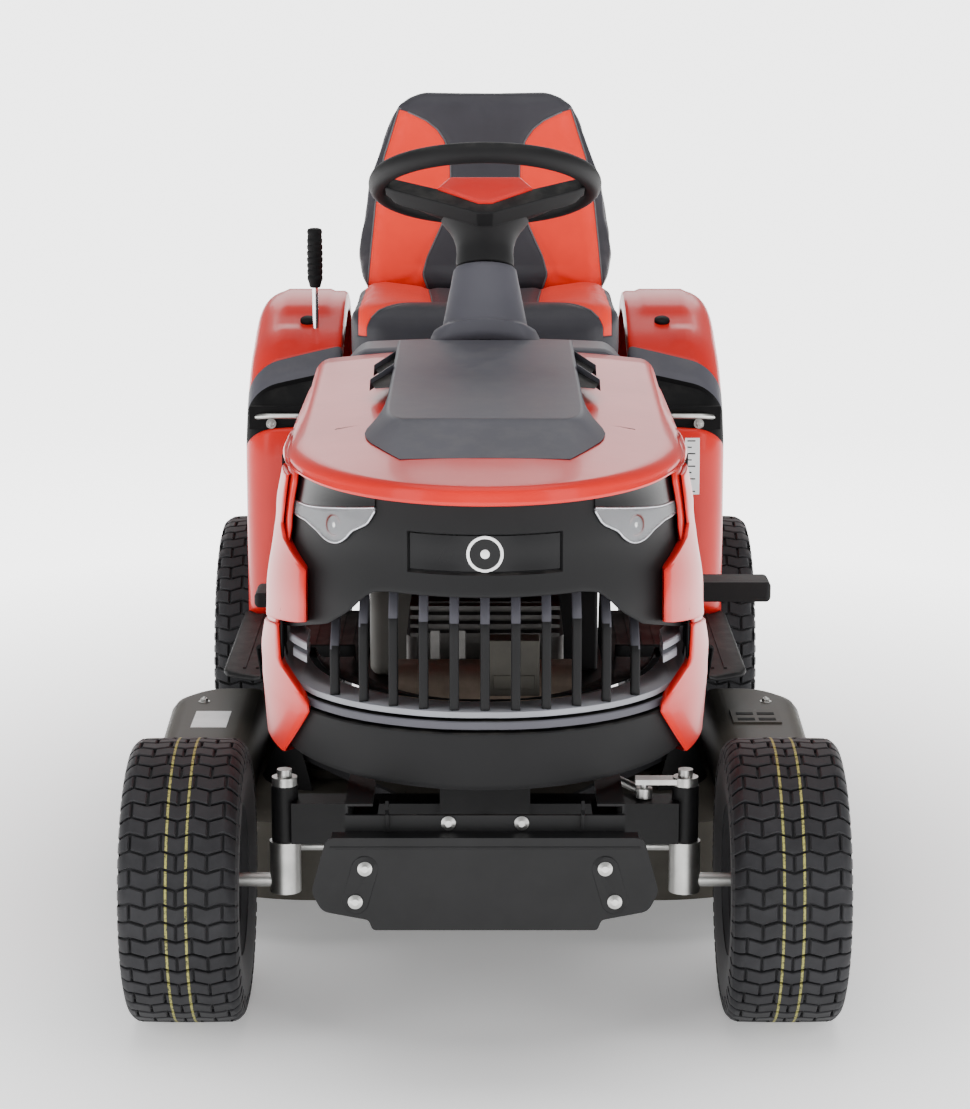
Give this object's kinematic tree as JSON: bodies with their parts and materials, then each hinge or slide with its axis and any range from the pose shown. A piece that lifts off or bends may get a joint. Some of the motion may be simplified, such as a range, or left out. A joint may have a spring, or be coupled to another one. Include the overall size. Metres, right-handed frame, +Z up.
{
  "type": "riding lawn mower",
  "caption": "Garden tractor with a hinged hood, tilting front axle, geared steering, lifting twin-blade deck, rear discharge and a padded seat.",
  "frame": {"origin": "on the ground, below the middle of the whole machine", "axes": "+X towards the tractor's left, +Y towards the rear, +Z up"},
  "size_m": [1.03, 1.84, 1.1887],
  "materials": {
    "red_gloss": "smooth moulded panels in gloss red",
    "black_matte": "fine-grained black moulding",
    "grey_matte": "fine-grained grey moulding",
    "black_steel": "black powder coat",
    "deck_paint": "dark grey powder coat",
    "tyre": "turf tread rubber",
    "rim_paint": "black wheel paint",
    "steel": "zinc plated",
    "engine_metal": "cast aluminium",
    "belt": "fabric-faced rubber",
    "lens": "clear polycarbonate",
    "seat_vinyl": "grained vinyl, black with red sides",
    "tank_plastic": "translucent white tank",
    "grip": "soft grip"
  },
  "bodies": {
    "chassis": {"frame_rails": "black_steel", "front_crossmember": "black_steel", "chassis_plate": "black_steel", "axle_bracket": "black_steel", "front_bumper": "black_steel", "frame_bolts": "steel", "hitch_plate": "black_steel", "engine_block": "engine_metal", "engine_shroud": "black_matte", "muffler": "steel", "battery": "black_matte", "fuel_tank": "tank_plastic", "drive_belt": "belt", "pto_belt": "belt", "transaxle": "engine_metal", "dash_tower": "grey_matte", "footboards": "black_matte", "fender_left": "red_gloss", "fender_right": "red_gloss", "fender_trims": "grey_matte", "seat_platform": "black_matte", "discharge_chute": "black_matte"},
    "hood": {"hood_shell": "red_gloss", "hood_scoop": "grey_matte", "front_mask": "black_matte", "headlights": "lens", "grille_bars": "black_matte"},
    "axle": {"axle_beam": "black_steel"},
    "knuckle_left": {"knuckle_left": "steel"},
    "knuckle_right": {"knuckle_right": "steel"},
    "tie_rod": {"tie_rod": "steel"},
    "drag_link": {"drag_link": "steel"},
    "sector": {"sector_gear": "steel"},
    "pinion": {"pinion_shaft": "steel"},
    "steering_column": {"steering_shaft": "steel", "steering_wheel": "black_matte", "steering_hub_cap": "red_gloss"},
    "wheel_front_left": {"rim_front_left": "rim_paint", "tyre_front_left": "tyre"},
    "wheel_front_right": {"rim_front_right": "rim_paint", "tyre_front_right": "tyre"},
    "wheel_rear_left": {"rim_rear_left": "rim_paint", "tyre_rear_left": "tyre"},
    "wheel_rear_right": {"rim_rear_right": "rim_paint", "tyre_rear_right": "tyre"},
    "deck": {"deck_shell": "deck_paint", "deck_covers": "black_matte"},
    "cutter_left": {"blade_left": "steel", "spindle_left": "steel"},
    "cutter_right": {"blade_right": "steel", "spindle_right": "steel"},
    "crank": {"crank_pulley": "steel"},
    "seat_pan": {"seat_bracket": "black_steel"},
    "seat": {"seat_cushion": "seat_vinyl", "seat_back": "seat_vinyl"},
    "height_lever": {"height_lever": "grip"},
    "brake_pedal": {"brake_pedal": "black_steel"},
    "drive_pedal": {"drive_pedal": "black_steel"},
    "ignition_key": {"ignition_key": "black_matte"},
    "throttle": {"throttle_lever": "black_matte"}
  },
  "joints": [
    {"name": "hood_open", "type": "hinge", "parent": "chassis", "child": "hood", "pos_m": [0, -0.898, 0.385], "axis": [1, 0, 0], "range_deg": [0, 65]},
    {"name": "axle_pivot", "type": "hinge", "parent": "chassis", "child": "axle", "pos_m": [0, -0.57, 0.275], "axis": [0, 1, 0], "range_deg": [-4, 4]},
    {"name": "knuckle_left_steer", "type": "hinge", "parent": "axle", "child": "knuckle_left", "pos_m": [0.268, -0.57, 0.28], "axis": [0, 0, 1], "range_deg": [-35, 35]},
    {"name": "knuckle_right_steer", "type": "hinge", "parent": "axle", "child": "knuckle_right", "pos_m": [-0.268, -0.57, 0.28], "axis": [0, 0, 1], "range_deg": [-35, 35]},
    {"name": "tie_rod_swing", "type": "hinge", "parent": "knuckle_left", "child": "tie_rod", "pos_m": [0.268, -0.5, 0.216], "axis": [0, 0, 1], "range_deg": [-35, 35]},
    {"name": "drag_link_swing", "type": "hinge", "parent": "knuckle_left", "child": "drag_link", "pos_m": [0.213, -0.57, 0.312], "axis": [0, 0, 1], "range_deg": [-35, 35]},
    {"name": "sector_turn", "type": "hinge", "parent": "chassis", "child": "sector", "pos_m": [0.055, -0.16805, 0.3], "axis": [0, 0, 1], "range_deg": [-35, 35]},
    {"name": "pinion_spin", "type": "hinge", "parent": "chassis", "child": "pinion", "pos_m": [0, -0.1, 0.4], "axis": [0, 0, 1], "range_deg": [-210, 210]},
    {"name": "steering_wheel_turn", "type": "hinge", "parent": "chassis", "child": "steering_column", "pos_m": [0, 0.13, 1.07], "axis": [0, 0.3584, 0.9336], "range_deg": [-210, 210]},
    {"name": "front_left_spin", "type": "hinge", "parent": "knuckle_left", "child": "wheel_front_left", "pos_m": [0.397, -0.57, 0.1905], "axis": [1, 0, 0], "continuous": true},
    {"name": "front_right_spin", "type": "hinge", "parent": "knuckle_right", "child": "wheel_front_right", "pos_m": [-0.397, -0.57, 0.1905], "axis": [1, 0, 0], "continuous": true},
    {"name": "rear_left_spin", "type": "hinge", "parent": "chassis", "child": "wheel_rear_left", "pos_m": [0.349, 0.66, 0.2285], "axis": [1, 0, 0], "continuous": true},
    {"name": "rear_right_spin", "type": "hinge", "parent": "chassis", "child": "wheel_rear_right", "pos_m": [-0.349, 0.66, 0.2285], "axis": [1, 0, 0], "continuous": true},
    {"name": "deck_lift", "type": "slide", "parent": "chassis", "child": "deck", "axis": [0, 0, 1], "range_m": [0, 0.06], "deforming": ["pto_belt"]},
    {"name": "height_lever_swing", "type": "hinge", "parent": "chassis", "child": "height_lever", "pos_m": [-0.286, 0.58, 0.7], "axis": [1, 0, 0], "range_deg": [-2, 36]},
    {"name": "cutter_left_spin", "type": "hinge", "parent": "deck", "child": "cutter_left", "pos_m": [0.24, -0.02, 0.12], "axis": [0, 0, 1], "continuous": true},
    {"name": "cutter_right_spin", "type": "hinge", "parent": "deck", "child": "cutter_right", "pos_m": [-0.24, -0.02, 0.12], "axis": [0, 0, 1], "continuous": true},
    {"name": "crank_spin", "type": "hinge", "parent": "chassis", "child": "crank", "pos_m": [0, -0.43, 0.3], "axis": [0, 0, 1], "continuous": true},
    {"name": "seat_tilt", "type": "hinge", "parent": "chassis", "child": "seat_pan", "pos_m": [0, 0.35, 0.745], "axis": [1, 0, 0], "range_deg": [0, 55]},
    {"name": "seat_slide", "type": "slide", "parent": "seat_pan", "child": "seat", "axis": [0, 1, 0], "range_m": [-0.04, 0.04]},
    {"name": "brake_pedal_press", "type": "hinge", "parent": "chassis", "child": "brake_pedal", "pos_m": [0.18, 0.07, 0.355], "axis": [1, 0, 0], "range_deg": [0, 18], "stiffness_Nm_per_rad": 10, "springref_deg": -20.05},
    {"name": "drive_pedal_tilt", "type": "hinge", "parent": "chassis", "child": "drive_pedal", "pos_m": [-0.18, 0.02, 0.355], "axis": [1, 0, 0], "range_deg": [-10, 10], "stiffness_Nm_per_rad": 80, "springref_deg": -0.57},
    {"name": "key_turn", "type": "hinge", "parent": "chassis", "child": "ignition_key", "pos_m": [-0.08, 0.112, 0.77], "axis": [0, 1, 0], "range_deg": [0, 75]},
    {"name": "throttle_swing", "type": "hinge", "parent": "chassis", "child": "throttle", "pos_m": [0.08, 0.112, 0.77], "axis": [0, 1, 0], "range_deg": [-30, 30]}
  ],
  "couplings": [
    {"joint": "knuckle_right_steer", "follows": "knuckle_left_steer", "ratio": 1},
    {"joint": "tie_rod_swing", "follows": "knuckle_left_steer", "ratio": -1},
    {"joint": "drag_link_swing", "follows": "knuckle_left_steer", "ratio": -1},
    {"joint": "sector_turn", "follows": "knuckle_left_steer", "ratio": 1},
    {"joint": "pinion_spin", "follows": "knuckle_left_steer", "ratio": 6},
    {"joint": "steering_wheel_turn", "follows": "knuckle_left_steer", "ratio": 6},
    {"joint": "height_lever_swing", "follows": "deck_lift", "rad_per_m": 10.181},
    {"joint": "cutter_left_spin", "follows": "crank_spin", "ratio": 0.8182},
    {"joint": "cutter_right_spin", "follows": "crank_spin", "ratio": 0.8182}
  ]
}
